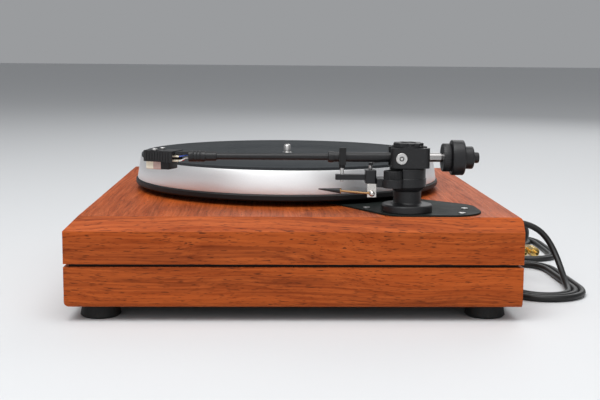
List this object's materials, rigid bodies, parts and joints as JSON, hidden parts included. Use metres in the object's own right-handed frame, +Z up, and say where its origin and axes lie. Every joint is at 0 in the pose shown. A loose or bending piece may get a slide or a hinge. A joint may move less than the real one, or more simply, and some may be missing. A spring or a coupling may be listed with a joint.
{
  "type": "turntable record player",
  "caption": "Belt-driven turntable with a bevelled wooden plinth in two halves, a metal platter with a mat, a black tonearm with a cue lever, and coiled signal and mains leads.",
  "frame": {"origin": "on the surface that the feet stand on, under the middle of the plinth", "axes": "+X to the deck's right, where the tonearm is; +Y to its rear, where the leads leave; +Z up"},
  "size_m": [0.398, 0.4903, 0.1488],
  "materials": {
    "walnut_wood": "satin oiled veneer",
    "dark_board": "painted board",
    "black_rubber": "matt",
    "mat_rubber": "matt, finely grained",
    "satin_aluminium": "satin turned",
    "bright_steel": "turned",
    "bearing_bronze": "plain",
    "black_arm_metal": "satin black",
    "black_weight": "satin black",
    "black_plastic": "moulded",
    "armboard_black": "satin black acrylic",
    "dark_chrome": "polished",
    "bright_chrome": "polished",
    "cream_plastic": "moulded",
    "brass_rod": "polished",
    "plug_gold": "plated",
    "lead_black": "satin sheath",
    "wire_mixed": "coloured sleeving"
  },
  "bodies": {
    "root": {"upper_plinth": "walnut_wood", "lower_plinth": "walnut_wood", "spacer_frame": "dark_board", "base_board": "dark_board", "foot_front_left": "black_rubber", "foot_front_right": "black_rubber", "foot_rear_left": "black_rubber", "foot_rear_right": "black_rubber", "corner_screws": "bright_steel", "machine_screws": "bright_steel", "bearing_housing": "bright_steel", "bearing_bushes": "bearing_bronze", "thrust_ball": "bright_steel", "motor_can": "bright_steel", "drive_belt": "black_rubber", "power_switch": "black_plastic", "armboard": "armboard_black", "armboard_screws": "black_arm_metal", "arm_base": "black_arm_metal", "arm_nut": "bright_steel", "arm_bracket": "black_arm_metal", "lift_cylinder": "black_arm_metal", "rest_bar": "black_arm_metal", "rest_post": "bright_steel", "rest_clip": "black_plastic", "cue_bracket": "bright_chrome", "signal_gland": "black_rubber", "mains_gland": "black_rubber", "signal_lead": "lead_black", "mains_lead": "lead_black", "signal_coil": "lead_black", "mains_coil": "lead_black", "phono_plugs": "plug_gold", "mains_plug": "black_plastic"},
    "platter": {"sub_platter": "black_plastic", "platter_shaft": "bright_steel", "outer_platter": "satin_aluminium", "platter_skirt": "black_plastic", "platter_mat": "mat_rubber"},
    "pulley": {"motor_pulley": "satin_aluminium", "motor_shaft": "bright_steel"},
    "button": {"power_button": "black_plastic"},
    "arm_yoke": {"yoke_housing": "black_arm_metal", "yoke_spindle": "bright_steel", "yoke_cap": "black_arm_metal", "pivot_screws": "bright_steel"},
    "arm_beam": {"arm_cradle": "black_arm_metal", "arm_tube": "black_arm_metal", "rear_stub": "dark_chrome", "headshell": "black_plastic", "cartridge_body": "black_plastic", "stylus_holder": "cream_plastic", "cantilever": "bright_steel", "headshell_screws": "bright_steel", "head_wires": "wire_mixed"},
    "weight": {"counterweight": "black_weight"},
    "weight_dial": {"force_dial": "black_weight"},
    "skate_dial": {"anti_skate_dial": "black_plastic"},
    "lever": {"cue_lever": "brass_rod"},
    "lifter": {"lift_bar": "brass_rod"}
  },
  "joints": [
    {"name": "platter_spin", "type": "hinge", "parent": "root", "child": "platter", "pos_m": [-0.0155, -0.003, 0.1], "axis": [0, 0, 1], "continuous": true},
    {"name": "pulley_spin", "type": "hinge", "parent": "root", "child": "pulley", "pos_m": [-0.09187, 0.07337, 0.1], "axis": [0, 0, 1], "continuous": true},
    {"name": "power_press", "type": "slide", "parent": "root", "child": "button", "axis": [0, 1, 0], "range_m": [0, 0.0025], "stiffness_N_per_m": 300},
    {"name": "arm_swing", "type": "hinge", "parent": "root", "child": "arm_yoke", "pos_m": [0.1635, 0.0955, 0.1338], "axis": [0, 0, -1], "range_deg": [0, 50]},
    {"name": "arm_lift", "type": "hinge", "parent": "arm_yoke", "child": "arm_beam", "pos_m": [0.1635, 0.0885, 0.1338], "axis": [-1, 0, 0], "range_deg": [0, 8.7]},
    {"name": "cue_turn", "type": "hinge", "parent": "root", "child": "lever", "pos_m": [0.1745, 0.0645, 0.1041], "axis": [-1, 0, 0], "range_deg": [0, 45]},
    {"name": "lifter_rise", "type": "slide", "parent": "root", "child": "lifter", "axis": [0, 0, 1], "range_m": [0, 0.0036]},
    {"name": "weight_slide", "type": "slide", "parent": "arm_beam", "child": "weight", "axis": [0, 1, 0], "range_m": [-0.003, 0.004]},
    {"name": "weight_dial_turn", "type": "hinge", "parent": "weight", "child": "weight_dial", "pos_m": [0.1635, 0.1255, 0.1338], "axis": [0, 1, 0], "continuous": true},
    {"name": "skate_dial_turn", "type": "hinge", "parent": "root", "child": "skate_dial", "pos_m": [0.176, 0.0815, 0.1195], "axis": [0, 0, 1], "range_deg": [0, 270]}
  ],
  "couplings": [
    {"joint": "pulley_spin", "follows": "platter_spin", "ratio": 7.5117},
    {"joint": "cue_turn", "follows": "arm_lift", "ratio": 5.1719},
    {"joint": "lifter_rise", "follows": "arm_lift", "m_per_rad": 0.0235}
  ]
}
